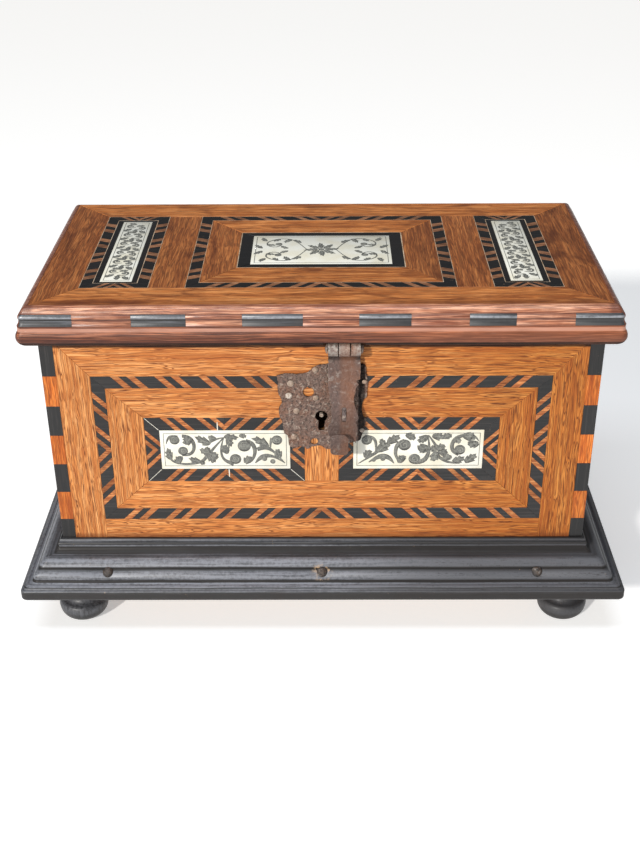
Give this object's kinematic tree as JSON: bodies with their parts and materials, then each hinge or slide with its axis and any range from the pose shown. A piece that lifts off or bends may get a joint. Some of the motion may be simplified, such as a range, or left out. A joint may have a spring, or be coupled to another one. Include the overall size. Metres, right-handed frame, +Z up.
{
  "type": "wooden casket",
  "caption": "Oblong wooden casket with inlaid front, ends and lid, a moulded plinth on bun feet, a hinged lid and an iron hasp that closes over a lock plate.",
  "frame": {"origin": "on the floor, midway between the feet, under the middle of the plinth", "axes": "+X along the front towards the right, +Y from the front to the back, +Z up; the lock faces -Y"},
  "size_m": [0.4386, 0.2486, 0.2532],
  "materials": {
    "carcass_wood": "plain planed boards, oiled",
    "fruitwood_veneer": "polished veneer",
    "lid_walnut": "worn polished veneer",
    "ebony": "satin ebony",
    "padauk": "polished padauk",
    "rosewood": "polished rosewood moulding",
    "ebonised_wood": "ebonised, rubbed at the edges",
    "bone": "polished bone with dark engraving",
    "wrought_iron": "hammered wrought iron, browned"
  },
  "bodies": {
    "carcass": {"back_board": "carcass_wood", "back_veneer": "fruitwood_veneer", "base_board": "carcass_wood", "carcass_nails": "wrought_iron", "corner_ebony": "ebony", "corner_padauk": "padauk", "end_banding_ebony": "ebony", "end_banding_wood": "fruitwood_veneer", "end_board_left": "carcass_wood", "end_board_right": "carcass_wood", "end_veneer_rails": "fruitwood_veneer", "end_veneer_stiles": "fruitwood_veneer", "foot_back_left": "ebonised_wood", "foot_back_right": "ebonised_wood", "foot_front_left": "ebonised_wood", "foot_front_right": "ebonised_wood", "front_banding_ebony": "ebony", "front_banding_wood": "fruitwood_veneer", "front_board": "carcass_wood", "front_plaque_left": "bone", "front_plaque_right": "bone", "front_veneer_rails": "fruitwood_veneer", "front_veneer_stiles": "fruitwood_veneer", "hinge_left_box_leaf": "wrought_iron", "hinge_pins": "wrought_iron", "hinge_right_box_leaf": "wrought_iron", "lock_cap": "wrought_iron", "lock_guides": "wrought_iron", "lock_key_pin": "wrought_iron", "lock_plate": "wrought_iron", "lock_spring": "wrought_iron", "plinth_back": "ebonised_wood", "plinth_front": "ebonised_wood", "plinth_left": "ebonised_wood", "plinth_right": "ebonised_wood", "plinth_studs": "wrought_iron"},
    "lid": {"hasp_leaf": "wrought_iron", "hasp_pin": "wrought_iron", "hinge_left_lid_leaf": "wrought_iron", "hinge_right_lid_leaf": "wrought_iron", "lid_banding_ebony": "ebony", "lid_banding_wood": "lid_walnut", "lid_board": "carcass_wood", "lid_chequer_ebony": "ebony", "lid_chequer_rosewood": "rosewood", "lid_ebony_frames": "ebony", "lid_nails": "wrought_iron", "lid_plaque_centre": "bone", "lid_plaque_left": "bone", "lid_plaque_right": "bone", "lid_rail_back": "rosewood", "lid_rail_front": "rosewood", "lid_rail_left": "rosewood", "lid_rail_right": "rosewood", "lid_veneer_rails": "lid_walnut", "lid_veneer_stiles": "lid_walnut"},
    "hasp": {"hasp_strap": "wrought_iron", "hasp_staple": "wrought_iron"},
    "bolt": {"lock_bolt": "wrought_iron"}
  },
  "joints": [
    {"name": "lid_hinge", "type": "hinge", "parent": "carcass", "child": "lid", "pos_m": [0, 0.0972, 0.22595], "axis": [-1, 0, 0], "range_deg": [0, 110]},
    {"name": "hasp_swing", "type": "hinge", "parent": "lid", "child": "hasp", "pos_m": [0.0155, -0.10235, 0.22295], "axis": [-1, 0, 0], "range_deg": [-8, 150]},
    {"name": "bolt_slide", "type": "slide", "parent": "carcass", "child": "bolt", "axis": [1, 0, 0], "range_m": [0, 0.005]}
  ]
}
